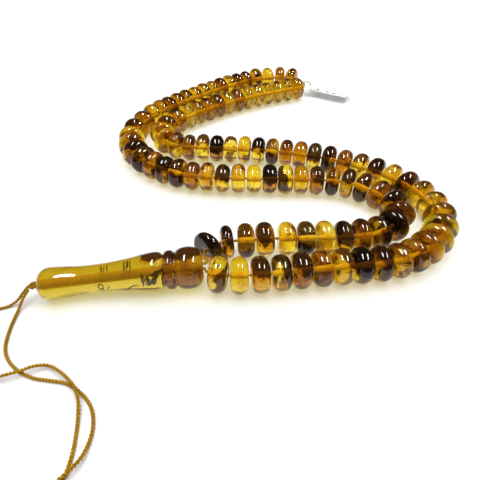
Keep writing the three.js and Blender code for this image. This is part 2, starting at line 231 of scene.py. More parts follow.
class Nodes:
    """Shorthand for building the node tree of one material."""

    def __init__(self, name):
        self.material = bpy.data.materials.new(name)
        self.material.use_nodes = True
        self.tree = self.material.node_tree
        self.tree.nodes.clear()
        self.output = self.tree.nodes.new("ShaderNodeOutputMaterial")

    def add(self, kind, inputs=None, **settings):
        node = self.tree.nodes.new(kind)
        for key, value in settings.items():
            setattr(node, key, value)
        for key, value in (inputs or {}).items():
            socket = node.inputs[key]
            if isinstance(value, bpy.types.NodeSocket):
                self.tree.links.new(value, socket)
            else:
                socket.default_value = value
        return node

    def math(self, operation, a, b=0.0, clamp=False):
        node = self.add("ShaderNodeMath", {0: a, 1: b}, operation=operation, use_clamp=clamp)
        return node.outputs[0]

    def ramp(self, factor, stops):
        node = self.add("ShaderNodeValToRGB", {"Fac": factor})
        elements = node.color_ramp.elements
        while len(elements) < len(stops):
            elements.new(0.5)
        for element, (position, colour) in zip(elements, stops):
            element.position = position
            element.color = (*colour, 1)
        return node.outputs["Color"]

    def band(self, factor, low, high):
        node = self.add(
            "ShaderNodeMapRange",
            {"Value": factor, "From Min": low, "From Max": high},
            interpolation_type="SMOOTHSTEP",
        )
        return node.outputs["Result"]

    def finish(self, shader):
        self.tree.links.new(shader, self.output.inputs["Surface"])
        return self.material


AMBER_IOR = 1.54
BEAD_ROUGHNESS, BEAD_GLOSS = 0.045, 0.24
IMAM_ROUGHNESS, IMAM_GLOSS, IMAM_HEAD_GLOSS = 0.05, 0.02, 0.2
# How much of the line that a pattern runs up is height, and how much is depth away from the front.
LEAN_UP, LEAN_BACK = 0.94, 0.34


def glassy(nodes, colour, roughness, gloss, transmission, shade):
    """Polished resin: it bends light, and passes tinted light to what lies under it."""
    body = nodes.add(
        "ShaderNodeBsdfPrincipled",
        {
            "Base Color": colour,
            "Roughness": roughness,
            "IOR": AMBER_IOR,
            "Specular IOR Level": gloss,
            "Transmission Weight": transmission,
        },
    )
    through = nodes.add("ShaderNodeBsdfTransparent", {"Color": shade})
    path = nodes.add("ShaderNodeLightPath")
    straight = nodes.math("MAXIMUM", path.outputs["Is Shadow Ray"], path.outputs["Is Diffuse Ray"])
    mixed = nodes.add("ShaderNodeMixShader", {0: straight, 1: body.outputs[0], 2: through.outputs[0]})
    return nodes.finish(mixed.outputs[0])


# The tint of the light that amber lets through to what lies under it.
BEAD_SHADE = (0.78, 0.73, 0.56, 1)
IMAM_SHADE = (0.82, 0.77, 0.50, 1)

# Amber runs from pale lemon through honey and cognac to nearly black.
AMBER_STOPS = [
    (0.0, (0.88, 0.69, 0.035)),
    (0.2, (0.78, 0.50, 0.010)),
    (0.38, (0.64, 0.30, 0.002)),
    (0.54, (0.46, 0.18, 0.001)),
    (0.70, (0.25, 0.07, 0.001)),
    (0.84, (0.085, 0.020, 0.001)),
    (1.0, (0.012, 0.004, 0.001)),
]


def leaning_height(nodes, spot):
    """Height on a bead, from -1 to 1, along a line that leans back a little from the upright."""
    raised = nodes.math("MULTIPLY", spot.outputs["Z"], LEAN_UP / (BEAD_RADIUS * MM))
    set_back = nodes.math("MULTIPLY", spot.outputs["X"], LEAN_BACK / (BEAD_RADIUS * MM))
    return nodes.math("SUBTRACT", raised, set_back)


def amber_bead_material():
    """An object's colour holds its pattern number, hue, dark share and the side the dark is on."""
    nodes = Nodes("amber_bead")
    place = nodes.add("ShaderNodeTexCoord").outputs["Object"]
    own = nodes.add("ShaderNodeObjectInfo")
    split = nodes.add("ShaderNodeSeparateColor", {"Color": own.outputs["Color"]})
    seed, hue, dark = split.outputs[0], split.outputs[1], split.outputs[2]
    side = own.outputs["Alpha"]
    shift = nodes.math("MULTIPLY", seed, 37.0)
    wander = nodes.add(
        "ShaderNodeTexNoise",
        {"Vector": place, "W": shift, "Scale": 170.0, "Detail": 3.0, "Roughness": 0.55, "Distortion": 0.6},
        noise_dimensions="4D",
    ).outputs["Fac"]
    flecks = nodes.add(
        "ShaderNodeTexNoise",
        {"Vector": place, "W": shift, "Scale": 620.0, "Detail": 4.0, "Roughness": 0.6, "Distortion": 1.2},
        noise_dimensions="4D",
    ).outputs["Fac"]
    veins = nodes.add(
        "ShaderNodeTexNoise",
        {"Vector": place, "W": shift, "Scale": 330.0, "Detail": 2.0, "Roughness": 0.5, "Distortion": 2.5},
        noise_dimensions="4D",
    ).outputs["Fac"]
    # The dark side is a direction among up (0) and along the string (a quarter of a turn).
    angle = nodes.math("MULTIPLY", side, 2 * math.pi)
    spot = nodes.add("ShaderNodeSeparateXYZ", {"Vector": place})
    across = nodes.math("MULTIPLY", spot.outputs["Y"], 1.6 / (BEAD_RADIUS * MM))
    upward = leaning_height(nodes, spot)
    lean = nodes.math("MULTIPLY", across, nodes.math("SINE", angle))
    lean = nodes.math("ADD", lean, nodes.math("MULTIPLY", upward, nodes.math("COSINE", angle)))
    ragged = nodes.math("MULTIPLY", nodes.math("SUBTRACT", wander, 0.5), 1.3)
    depth = nodes.math("ADD", nodes.math("MULTIPLY", lean, 0.5), ragged)
    edge = nodes.math("SUBTRACT", nodes.math("MULTIPLY", nodes.math("COSINE", angle), 0.12), dark)
    edge = nodes.math("ADD", edge, 0.5)
    shadow = nodes.band(nodes.math("SUBTRACT", depth, edge), -0.03, 0.14)
    spots = nodes.band(nodes.math("ADD", flecks, nodes.math("MULTIPLY", dark, 0.14)), 0.65, 0.70)
    ridge = nodes.math("ABSOLUTE", nodes.math("SUBTRACT", veins, 0.5))
    lines = nodes.math("SUBTRACT", 1.0, nodes.band(ridge, 0.006, 0.03))
    lines = nodes.math("MULTIPLY", lines, nodes.band(wander, 0.45, 0.6))
    cloud = nodes.math("MULTIPLY", nodes.math("SUBTRACT", wander, 0.5), 1.3)
    # Painted shade and glow: the tone darkens towards the top and lightens towards the bottom, standing in
    # for how light comes through the bead.
    tone = nodes.math("ADD", nodes.math("ADD", hue, cloud), nodes.math("MULTIPLY", upward, 0.26))
    grain = nodes.math("MULTIPLY", nodes.math("SUBTRACT", flecks, 0.42), 0.35)
    tone = nodes.math("ADD", tone, grain)
    deep = nodes.math("ADD", nodes.math("MULTIPLY", dark, 0.5), 0.72)
    tone = nodes.math("MAXIMUM", tone, nodes.math("MULTIPLY", shadow, deep))
    tone = nodes.math("MAXIMUM", tone, nodes.math("MULTIPLY", spots, 0.95))
    tone = nodes.math("MAXIMUM", tone, nodes.math("MULTIPLY", lines, 0.74), clamp=True)
    # Painted glow: a pale crescent underneath stands in for light gathered through the bead's lower edge,
    # unless that is where the dark lies.
    below = nodes.band(nodes.math("MULTIPLY", upward, -1.0), 0.5, 0.85)
    free = nodes.band(nodes.math("COSINE", angle), -0.5, -0.1)
    painted_glow = nodes.math("MULTIPLY", nodes.math("MULTIPLY", below, free), 0.8)
    tone = nodes.math("MULTIPLY", tone, nodes.math("SUBTRACT", 1.0, painted_glow))
    colour = nodes.ramp(tone, AMBER_STOPS)
    clear = nodes.math("SUBTRACT", 0.97, nodes.math("MULTIPLY", shadow, 0.3))
    return glassy(nodes, colour, BEAD_ROUGHNESS, BEAD_GLOSS, clear, BEAD_SHADE)


# The imam's clearer amber, from the painted glow underneath to the crust on its shoulder.
IMAM_STOPS = [
    (0.0, (0.66, 0.50, 0.022)),
    (0.25, (0.54, 0.355, 0.008)),
    (0.45, (0.46, 0.25, 0.003)),
    (0.65, (0.28, 0.09, 0.003)),
    (0.82, (0.09, 0.022, 0.003)),
    (1.0, (0.012, 0.005, 0.003)),
]


def imam_material():
    nodes = Nodes("amber_imam")
    place = nodes.add("ShaderNodeTexCoord").outputs["Object"]
    spot = nodes.add("ShaderNodeSeparateXYZ", {"Vector": place})
    wander = nodes.add(
        "ShaderNodeTexNoise",
        {"Vector": place, "Scale": 260.0, "Detail": 4.0, "Roughness": 0.6, "Distortion": 0.8},
    ).outputs["Fac"]
    ragged = nodes.math("MULTIPLY", nodes.math("SUBTRACT", wander, 0.5), 0.16)
    share = nodes.math("MULTIPLY", spot.outputs["Y"], 1 / IMAM_LENGTH)
    share = nodes.math("ADD", share, ragged)
    upward = leaning_height(nodes, spot)
    lifted = nodes.math("ADD", upward, nodes.math("MULTIPLY", ragged, 3.0))
    head = nodes.band(share, 0.76, 0.80)
    crust = nodes.math("MULTIPLY", nodes.band(share, 0.60, 0.65), nodes.band(lifted, 0.72, 0.84))
    ring = nodes.math("SUBTRACT", nodes.band(share, 0.74, 0.76), nodes.band(share, 0.82, 0.84))
    cap = nodes.math("MULTIPLY", head, nodes.band(lifted, 0.62, 0.8))
    foot = nodes.math("MULTIPLY", head, nodes.band(nodes.math("MULTIPLY", lifted, -1.0), 0.35, 0.6))
    # Painted shade and glow: the tone darkens towards the top and lightens towards the bottom.
    tone = nodes.math("ADD", 0.12, nodes.math("MULTIPLY", upward, 0.24))
    tone = nodes.math("ADD", tone, nodes.math("MULTIPLY", ragged, 2.2))
    patches = nodes.math("ADD", 0.30, nodes.math("MULTIPLY", ragged, 9.0))
    tone = nodes.math("ADD", tone, nodes.math("MULTIPLY", head, patches))
    tone = nodes.math("MAXIMUM", tone, nodes.math("MULTIPLY", crust, 0.95))
    tone = nodes.math("MAXIMUM", tone, nodes.math("MULTIPLY", cap, 0.9))
    tone = nodes.math("MAXIMUM", tone, nodes.math("MULTIPLY", ring, 0.72))
    tone = nodes.math("MAXIMUM", tone, nodes.math("MULTIPLY", foot, 0.8), clamp=True)
    colour = nodes.ramp(tone, IMAM_STOPS)
    clear = nodes.math("SUBTRACT", 0.97, nodes.math("MULTIPLY", nodes.math("MAXIMUM", crust, cap), 0.6))
    gloss = nodes.math("ADD", IMAM_GLOSS, nodes.math("MULTIPLY", head, IMAM_HEAD_GLOSS))
    return glassy(nodes, colour, IMAM_ROUGHNESS, gloss, clear, IMAM_SHADE)


def inclusion_material():
    nodes = Nodes("inclusion")
    place = nodes.add("ShaderNodeTexCoord").outputs["Object"]
    grain = nodes.add("ShaderNodeTexNoise", {"Vector": place, "Scale": 1500.0}).outputs["Fac"]
    colour = nodes.ramp(grain, [(0.3, (0.012, 0.005, 0.002)), (0.7, (0.09, 0.03, 0.008))])
    shader = nodes.add("ShaderNodeBsdfPrincipled", {"Base Color": colour, "Roughness": 0.7})
    return nodes.finish(shader.outputs[0])


def thread_material():
    nodes = Nodes("thread_ply")
    place = nodes.add("ShaderNodeTexCoord").outputs["Object"]
    fibre = nodes.add(
        "ShaderNodeTexNoise", {"Vector": place, "Scale": 2600.0, "Detail": 5.0, "Roughness": 0.7}
    ).outputs["Fac"]
    stain = nodes.add("ShaderNodeTexNoise", {"Vector": place, "Scale": 140.0, "Detail": 2.0}).outputs["Fac"]
    blend = nodes.math("ADD", nodes.math("MULTIPLY", fibre, 0.7), nodes.math("MULTIPLY", stain, 0.3))
    colour = nodes.ramp(
        blend, [(0.3, (0.22, 0.10, 0.001)), (0.5, (0.41, 0.215, 0.002)), (0.7, (0.56, 0.33, 0.005))]
    )
    bump = nodes.add("ShaderNodeBump", {"Height": fibre, "Strength": 0.5, "Distance": 0.00006})
    shader = nodes.add(
        "ShaderNodeBsdfPrincipled",
        {"Base Color": colour, "Roughness": 0.7, "Specular IOR Level": 0.08, "Normal": bump.outputs[0]},
    )
    return nodes.finish(shader.outputs[0])


def bore_material(name, alpha):
    """The rough wall of a drilled hole, coloured by the thread that fills it and painted brighter than the
    thread as painted light, so the band shows lit through the amber.
    """
    nodes = Nodes(name)
    place = nodes.add("ShaderNodeTexCoord").outputs["Object"]
    grain = nodes.add(
        "ShaderNodeTexNoise", {"Vector": place, "Scale": 1400.0, "Detail": 3.0}
    ).outputs["Fac"]
    # Painted light: the thread's colour made brighter, as if lit inside the amber.
    colour = nodes.ramp(grain, [(0.3, (0.90, 0.48, 0.03)), (0.7, (1.0, 0.72, 0.09))])
    shader = nodes.add(
        "ShaderNodeBsdfPrincipled", {"Base Color": colour, "Roughness": 0.7, "Alpha": alpha}
    )
    return nodes.finish(shader.outputs[0])


def card_material():
    nodes = Nodes("card_face")
    place = nodes.add("ShaderNodeTexCoord").outputs["Object"]
    pulp = nodes.add(
        "ShaderNodeTexNoise", {"Vector": place, "Scale": 900.0, "Detail": 4.0}
    ).outputs["Fac"]
    colour = nodes.ramp(pulp, [(0.3, (0.90, 0.90, 0.895)), (0.7, (0.97, 0.97, 0.965))])
    bump = nodes.add("ShaderNodeBump", {"Height": pulp, "Strength": 0.2, "Distance": 0.00004})
    shader = nodes.add(
        "ShaderNodeBsdfPrincipled", {"Base Color": colour, "Roughness": 0.55, "Normal": bump.outputs[0]}
    )
    return nodes.finish(shader.outputs[0])


def ink_material():
    nodes = Nodes("ink")
    place = nodes.add("ShaderNodeTexCoord").outputs["Object"]
    worn = nodes.add("ShaderNodeTexNoise", {"Vector": place, "Scale": 1800.0}).outputs["Fac"]
    colour = nodes.ramp(worn, [(0.3, (0.02, 0.02, 0.024)), (0.7, (0.06, 0.06, 0.065))])
    shader = nodes.add("ShaderNodeBsdfPrincipled", {"Base Color": colour, "Roughness": 0.6})
    return nodes.finish(shader.outputs[0])


def floor_material():
    nodes = Nodes("floor")
    shader = nodes.add(
        "ShaderNodeBsdfPrincipled",
        {"Base Color": (0.93, 0.93, 0.93, 1), "Roughness": 0.75, "Specular IOR Level": 0.2},
    )
    return nodes.finish(shader.outputs[0])


# ---------------------------------------------------------------- mesh helpers


def add_mesh(name, vertices, faces, material, smooth=True):
    mesh = bpy.data.meshes.new(name)
    mesh.from_pydata([tuple(v) for v in vertices], [], faces)
    mesh.validate()
    mesh.polygons.foreach_set("use_smooth", [smooth] * len(mesh.polygons))
    mesh.materials.append(material)
    piece = bpy.data.objects.new(name, mesh)
    bpy.context.scene.collection.objects.link(piece)
    return piece


def lathe(profile, segments, wobble=None):
    """Turns a closed (radius, height) profile about Y, with its outside running towards +Y."""
    vertices, faces = [], []
    rings = len(profile)
    for segment in range(segments):
        angle = 2 * math.pi * segment / segments
        for radius, height in profile:
            point = Vector((radius * math.sin(angle), height, radius * math.cos(angle)))
            if wobble:
                point = wobble(point, radius)
            vertices.append(point)
    for segment in range(segments):
        following = (segment + 1) % segments
        for ring in range(rings):
            upper = (ring + 1) % rings
            faces.append((
                segment * rings + ring,
                following * rings + ring,
                following * rings + upper,
                segment * rings + upper,
            ))
    return vertices, faces


def align(axis):
    """Stands local Y along an axis and keeps local Z up."""
    y = axis.normalized()
    x = y.cross(UP).normalized()
    z = x.cross(y)
    return Matrix((x, y, z)).transposed()


def sweep(rings):
    """Joins rings of points into a tube with closed ends."""
    vertices, faces = [], []
    sides = len(rings[0])
    for ring in rings:
        vertices.extend(ring)
    for step in range(len(rings) - 1):
        for side in range(sides):
            beside = (side + 1) % sides
            faces.append((
                step * sides + side,
                step * sides + beside,
                (step + 1) * sides + beside,
                (step + 1) * sides + side,
            ))
    faces.append(tuple(reversed(range(sides))))
    faces.append(tuple(range((len(rings) - 1) * sides, len(rings) * sides)))
    return vertices, faces


def frames_along(points):
    """A direction, a side and an up vector at each point, turned as little as possible."""
    result, side = [], None
    for index, point in enumerate(points):
        before = points[max(index - 1, 0)]
        after = points[min(index + 1, len(points) - 1)]
        direction = (after - before).normalized()
        if side is None:
            side = direction.cross(UP)
            side = side.normalized() if side.length > 1e-4 else Vector((1, 0, 0))
        side = (side - direction * side.dot(direction)).normalized()
        result.append((direction, side, direction.cross(side)))
    return result


# How far a ply lies from the middle of its cord, and how much it swells into its neighbour.
PLIES = 2
PLY_OFFSET = 0.5
PLY_SWELL = 1.08


def twisted(points, radius, lay, sides):
    """The plies of a cord wound round a path, one turn to each lay, in the path's own units."""
    vertices, faces = [], []
    distance, frames = 0.0, frames_along(points)
    offset = radius * PLY_OFFSET
    ply_radius = (radius - offset) * PLY_SWELL
    places = []
    for index, point in enumerate(points):
        if index:
            distance += (point - points[index - 1]).length
        places.append(distance)
    for ply in range(PLIES):
        rings = []
        for point, place, (direction, side, up) in zip(points, places, frames):
            turn = 2 * math.pi * (place / lay + ply / PLIES)
            middle = point + offset * (math.cos(turn) * side + math.sin(turn) * up)
            ring = []
            for corner in range(sides):
                angle = 2 * math.pi * corner / sides
                ring.append(middle + ply_radius * (math.cos(angle) * side + math.sin(angle) * up))
            rings.append(ring)
        more, their_faces = sweep(rings)
        start = len(vertices)
        vertices.extend(more)
        faces.extend(tuple(start + corner for corner in face) for face in their_faces)
    return vertices, faces


# ---------------------------------------------------------------- cords

THREAD = thread_material()
# Lay and step of the tails, of the thread in the beads and of the loop on the tag, in metres.
TAIL_LAY, TAIL_STEP = 1.5 * MM, 0.18 * MM
HELD_LAY, HELD_STEP = 1.8 * MM, 0.3 * MM
LOOP_LAY = 1.1 * MM
KNOT_STEPS = 96


def make_tail(name, points):
    path = Path(catmull_rom([to_frame(p) for p in points], 24))
    line = path.resampled(TAIL_STEP)
    vertices, faces = twisted(line, THREAD_RADIUS * MM, TAIL_LAY, 8)
    piece = add_mesh(name, vertices, faces, THREAD)
    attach(piece, "string")
    return piece, path


def make_knot(name, centre, axis, radius, node):
    """An overhand knot: a trefoil of thread drawn tight round itself."""
    turn = align(axis)
    points = []
    for step in range(KNOT_STEPS + 1):
        angle = 2 * math.pi * step / KNOT_STEPS
        reach = radius * (0.52 + 0.20 * math.cos(3 * angle))
        points.append(Vector((
            reach * math.cos(2 * angle),
            radius * 0.50 * math.sin(3 * angle),
            reach * math.sin(2 * angle),
        )))
    line = [centre + turn @ point for point in points]
    vertices, faces = twisted(line, radius * 0.36, radius * 1.1, 8)
    piece = add_mesh(name, vertices, faces, THREAD)
    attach(piece, "string")
    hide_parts(node)
    return piece


def middle_of(node):
    low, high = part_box(node)
    return (Vector(low) + Vector(high)) / 2


def make_tails():
    end_knot = make_knot(
        "end_knot", middle_of("tail_knot"), Vector((-0.6, -0.8, 0)), 1.3 * MM, "tail_knot"
    )
    for name, node, points, ends in (
        ("tail_thread_a", "tail_a", TAIL_A, [end_knot]),
        ("tail_thread_b", "tail_b", TAIL_B, [end_knot]),
    ):
        piece, path = make_tail(name, points)
        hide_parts(node)
        [tuple(p) for p in path.resampled(1.0 * MM)]


make_tails()

# ---------------------------------------------------------------- beads

AMBER = amber_bead_material()
BEAD_BORE = bore_material("bead_bore_wall", 1.0)
IMAM_BORE = bore_material("imam_bore_wall", 0.55)


def bead_profile(radius, thickness, squareness):
    """A cushion with a bore: a rim that runs from one flat face round to the other."""
    half = thickness / 2
    core = radius - half * 1.02
    mouth, step_in = BORE_RADIUS + BORE_BEVEL, half - BORE_BEVEL
    profile = [(BORE_RADIUS, -step_in), (mouth, -half), (core * 0.6 + 0.25, -half)]
    power = 2 / squareness
    for step in range(RIM_STEPS + 1):
        angle = math.pi * (step / RIM_STEPS - 0.5)
        out = max(math.cos(angle), 0.0) ** power
        up = math.copysign(abs(math.sin(angle)) ** power, math.sin(angle))
        profile.append((core + (radius - core) * out, half * up))
    profile += [(core * 0.6 + 0.25, half), (mouth, half), (BORE_RADIUS, step_in)]
    return [(r * MM, h * MM) for r, h in profile]


def line_bore(piece, rings, material):
    """Gives the wall of the bore, the last step of each turned profile, its own material."""
    piece.data.materials.append(material)
    for polygon in piece.data.polygons:
        if polygon.index % rings == rings - 1:
            polygon.material_index = 1


def body_of_bead(strand, number):
    for first, last in JOINED[strand]:
        if first <= number <= last:
            return "string", f"beads_{strand}{first}_{last}"
    node = f"bead_{strand}{number:02d}"
    return node, node


def make_bead(strand, number, bead, look):
    rng = random.Random(f"{strand}{number}")
    radius = BEAD_RADIUS * rng.uniform(0.955, 1.0)
    thickness = bead["thickness"] * rng.uniform(0.95, 1.0)
    phase = Vector((rng.uniform(0, 50), rng.uniform(0, 50), rng.uniform(0, 50)))

    def wobble(point, reach):
        if reach < 1.0 * MM:
            return point
        bend = noise.noise(point * 260 + phase)
        return point * (1 + 0.022 * bend)

    squareness = 2.2 - 0.2 * min(1.0, bead["turn"] / 0.2)
    profile = bead_profile(radius, thickness, squareness)
    vertices, faces = lathe(profile, BEAD_SEGMENTS, wobble)
    name = f"amber_{strand}{number:02d}"
    piece = add_mesh(name, vertices, faces, AMBER)
    line_bore(piece, len(profile), BEAD_BORE)
    middle = (bead["from"] + bead["to"]) / 2
    middle.z = BEAD_HEIGHT - (BEAD_RADIUS - radius) * 0.9
    lean = Matrix.Rotation(math.radians(rng.uniform(-2.5, 2.5)), 3, "Z")
    axis = bead["axis"] if bead["axis"].x > 0 else -bead["axis"]
    piece.matrix_world = Matrix.Translation(to_frame(middle)) @ align(lean @ axis).to_4x4()
    hue, dark, side = look
    piece.color = (rng.random(), hue, dark, side)
    body, node = body_of_bead(strand, number)
    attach(piece, body)
    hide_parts(node)
    return piece


# Looks of the beads in order: hue from lemon 0 to cherry 0.75, dark share and where the dark lies
# as the beads are seen from the front: 0 top, 0.25 right, 0.5 bottom, 0.75 left.
L, H, A, C, K = 0.02, 0.20, 0.38, 0.55, 0.75
LOOKS_P = [
    (L, 0.46, 0.30), (L, 0.02, 0.0), (A, 0.51, 0.05), (L, 0.67, 0.15), (C, 0.59, 0.05),
    (A, 0.38, 0.5), (H, 0.44, 0.1), (H, 0.80, 0.0), (C, 0.54, 0.05), (A, 0.36, 0.0),
    (A, 0.33, 0.4), (A, 0.23, 0.0), (H, 0.26, 0.0), (L, 0.44, 0.1), (H, 0.31, 0.5),
    (H, 0.36, 0.9), (A, 0.18, 0.3), (C, 0.59, 0.75), (H, 0.26, 0.5), (A, 0.61, 0.0),
    (L, 0.44, 0.0), (C, 0.38, 0.25), (A, 0.61, 0.75), (L, 0.64, 0.0), (C, 0.26, 0.5),
    (C, 0.36, 0.0), (L, 0.44, 0.5), (H, 0.69, 0.0), (H, 0.26, 0.3), (L, 0.44, 0.0),
    (C, 0.80, 0.0), (L, 0.44, 0.0), (C, 0.08, 0.0), (A, 0.40, 0.1), (H, 0.03, 0.0),
    (H, 0.02, 0.5), (C, 0.37, 0.0), (A, 0.40, 0.0), (L, 0.09, 0.4), (A, 0.15, 0.0),
    (A, 0.19, 0.5), (C, 0.31, 0.0), (H, 0.04, 0.0), (C, 0.31, 0.0), (H, 0.10, 0.5),
    (H, 0.05, 0.0), (H, 0.19, 0.5), (H, 0.15, 0.3), (A, 0.15, 0.0), (A, 0.09, 0.0),
]
LOOKS_Q = [
    (K, 0.80, 0.0), (C, 0.63, 0.15), (H, 0.44, 0.45), (A, 0.56, 0.0), (L, 0.24, 0.25),
    (L, 0.54, 0.5), (L, 0.20, 0.4), (A, 0.67, 0.05), (C, 0.34, 0.0), (H, 0.61, 0.3),
    (K, 0.80, 0.0), (C, 0.37, 0.8), (C, 0.56, 0.0), (C, 0.17, 0.5), (H, 0.44, 0.5),
    (H, 0.56, 0.0), (A, 0.41, 0.5), (C, 0.56, 0.1), (H, 0.06, 0.0), (L, 0.56, 0.75),
    (C, 0.73, 0.0), (L, 0.02, 0.0), (H, 0.32, 0.1), (L, 0.61, 0.0), (A, 0.37, 0.0),
    (C, 0.12, 0.0), (H, 0.44, 0.5), (C, 0.76, 0.0), (C, 0.29, 0.0), (L, 0.49, 0.5),
    (A, 0.61, 0.0), (H, 0.17, 0.1), (L, 0.07, 0.0), (C, 0.50, 0.0), (C, 0.03, 0.0),
    (H, 0.09, 0.0), (A, 0.09, 0.2), (C, 0.31, 0.0), (A, 0.29, 0.1), (H, 0.19, 0.25),
    (H, 0.03, 0.0), (H, 0.06, 0.0), (H, 0.07, 0.0), (C, 0.30, 0.0), (H, 0.20, 0.0),
    (C, 0.41, 0.0), (C, 0.10, 0.0), (A, 0.17, 0.5), (H, 0.11, 0.2), (A, 0.22, 0.0),
    (A, 0.15, 0.75),
]


def make_beads():
    for strand, beads, looks in (("p", BEADS_P, LOOKS_P), ("q", BEADS_Q, LOOKS_Q)):
        for number, (bead, look) in enumerate(zip(beads, looks), 1):
            make_bead(strand, number, bead, look)


make_beads()

# ---------------------------------------------------------------- imam

IMAM_AXIS = IMAM_END - IMAM_TIP
IMAM_LENGTH = IMAM_AXIS.length * MM
IMAM_TURN = align(IMAM_AXIS)
IMAM_OUTLINE = [
    (0.0, 1.2), (0.0, 2.6), (0.012, 3.35), (0.035, 3.95), (0.06, 4.2), (0.10, 4.18), (0.16, 3.95),
    (0.24, 3.66), (0.32, 3.58), (0.42, 3.72), (0.52, 4.14), (0.60, 4.58), (0.67, 4.94),
    (0.71, 5.02), (0.735, 4.85), (0.75, 4.4), (0.757, 4.16), (0.763, 4.16), (0.77, 4.75),
    (0.785, 5.02), (0.80, 5.08), (0.815, 4.95), (0.825, 4.55), (0.83, 4.42), (0.836, 4.5),
    (0.85, 5.0), (0.875, 5.38), (0.905, 5.52), (0.935, 5.42), (0.96, 5.05), (0.98, 4.5),
    (0.993, 3.7), (1.0, 2.9), (1.0, 1.2),
]


def imam_place(along, aside=0.0, up=0.0):
    """A point by its distance along the imam from the tip and its steps aside and up, in millimetres."""
    return to_frame(IMAM_TIP + IMAM_TURN @ Vector((aside, along, up)))


def make_imam():
    length = IMAM_AXIS.length
    smooth = catmull_rom([(radius, share * length, 0) for share, radius in IMAM_OUTLINE], 4)
    profile = [(p.x * MM, p.y * MM) for p in smooth]
    bore = IMAM_BORE_RADIUS * MM
    inset = IMAM_BORE_INSET
    profile = [(bore, inset * MM)] + profile + [(bore, (length - inset) * MM)]

    def wobble(point, reach):
        if reach < 1.3 * MM:
            return point
        bend = noise.noise(point * 90)
        scale = 1 + 0.02 * bend
        return Vector((point.x * scale, point.y, point.z * scale))

    vertices, faces = lathe(profile, IMAM_SEGMENTS, wobble)
    piece = add_mesh("amber_imam", vertices, faces, imam_material())
    line_bore(piece, len(profile), IMAM_BORE)
    piece.matrix_world = Matrix.Translation(to_frame(IMAM_TIP)) @ IMAM_TURN.to_4x4()
    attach(piece, "imam")
    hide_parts("imam")
    return piece


make_imam()


# Dark strokes in the imam as the camera sees them, in millimetres: distance along it, height over
# its middle, length, width and slant in degrees, where 0 points along the imam.
INCLUSIONS = [
    (25.9, -1.4, 2.6, 0.65, 84), (26.5, -1.5, 2.4, 0.42, 88), (27.3, -1.6, 2.2, 0.95, 80),
    (28.2, -1.8, 2.8, 0.76, 20), (29.0, -1.1, 3.2, 1.14, 55), (29.8, 0.0, 3.6, 0.95, 12),
    (30.4, -1.9, 2.6, 0.57, 60), (31.2, -0.7, 2, 1.33, 35), (31.6, -2.5, 1.6, 0.57, 10),
    (16.0, 2.0, 1.5, 0.30, 82), (16.6, 1.9, 1.2, 0.21, 78), (17.4, 2.1, 1.6, 0.27, 84),
    (21.7, 2.0, 1.9, 0.42, 80), (22.5, 2.2, 1.5, 0.60, 76), (23.2, 2.0, 1.9, 0.30, 84),
    (22.0, -2.9, 5.5, 0.18, 1), (17.2, -2.4, 0.9, 0.21, 30), (33.8, -0.5, 1, 0.57, 50),
]
# The curled stem: distance along the imam, height over its middle and radius.
CURL = (15.4, -1.9, 0.42)
# Distance of the strokes and of the curl from the middle of the imam, and their thickness.
STROKE_REACH = 3.3
CURL_REACH = 3.0
BLADE_THICKNESS = 0.2
CURL_WIDTH = 0.28


def facing(along, height, reach):
    """A point in the imam, from its height as the camera sees it and its distance from the middle."""
    depth = math.sqrt(max(reach ** 2 - height ** 2, 0.0))
    pitch = math.radians(CAMERA_PITCH)
    aside = depth * math.cos(pitch) - height * math.sin(pitch)
    up = depth * math.sin(pitch) + height * math.cos(pitch)
    return imam_place(along, aside, up)


def make_inclusions():
    """Bark strokes and a curled stem that the imam's amber holds, close under its surface."""
    rng = random.Random(7)
    vertices, faces = [], []

    def blade(outline, reach):
        start = len(vertices)
        count = len(outline)
        for layer in (reach, reach - BLADE_THICKNESS):
            vertices.extend(facing(along, height, layer) for along, height in outline)
        faces.append(tuple(start + step for step in range(count)))
        faces.append(tuple(start + count + step for step in reversed(range(count))))
        for step in range(count):
            beside = (step + 1) % count
            faces.append((start + beside, start + step, start + count + step, start + count + beside))

    for along, height, length, width, slant in INCLUSIONS:
        turn = math.radians(slant)
        upper, lower = [], []
        for step in range(9):
            share = step / 8 - 0.5
            bend = 0.12 * length * math.sin(5 * share) * rng.uniform(0.3, 1.0)
            half = width / 2 * math.sqrt(1 - (1.9 * share) ** 2) * rng.uniform(0.6, 1.3)
            for side, edge in ((1, upper), (-1, lower)):
                x, y = share * length, bend + side * half
                edge.append((
                    along + x * math.cos(turn) - y * math.sin(turn),
                    height + x * math.sin(turn) + y * math.cos(turn),
                ))
        blade(upper + lower[::-1], STROKE_REACH)
    along, height, radius = CURL
    for step in range(16):
        start, end = math.pi * step / 8.5, math.pi * (step + 1) / 8.5
        blade([
            (along + (radius + out) * math.cos(angle), height + (radius + out) * math.sin(angle))
            for angle, out in ((start, 0), (end, 0), (end, CURL_WIDTH), (start, CURL_WIDTH))
        ], CURL_REACH)
    piece = add_mesh("imam_inclusions", vertices, faces, inclusion_material(), smooth=False)
    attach(piece, "imam")


make_inclusions()

# ---------------------------------------------------------------- held thread

SHARP_TURN = math.pi / 8
CORNER_CUT = 0.25


def rounded(line):
    """Cuts the corners of a line wherever it turns by more than a quarter of a right angle."""
    result = [line[0]]
    for before, here, after in zip(line, line[1:], line[2:]):
        if (here - before).angle(after - here) < SHARP_TURN:
            result.append(here)
        else:
            result.append(here.lerp(before, CORNER_CUT))
            result.append(here.lerp(after, CORNER_CUT))
    return result + [line[-1]]


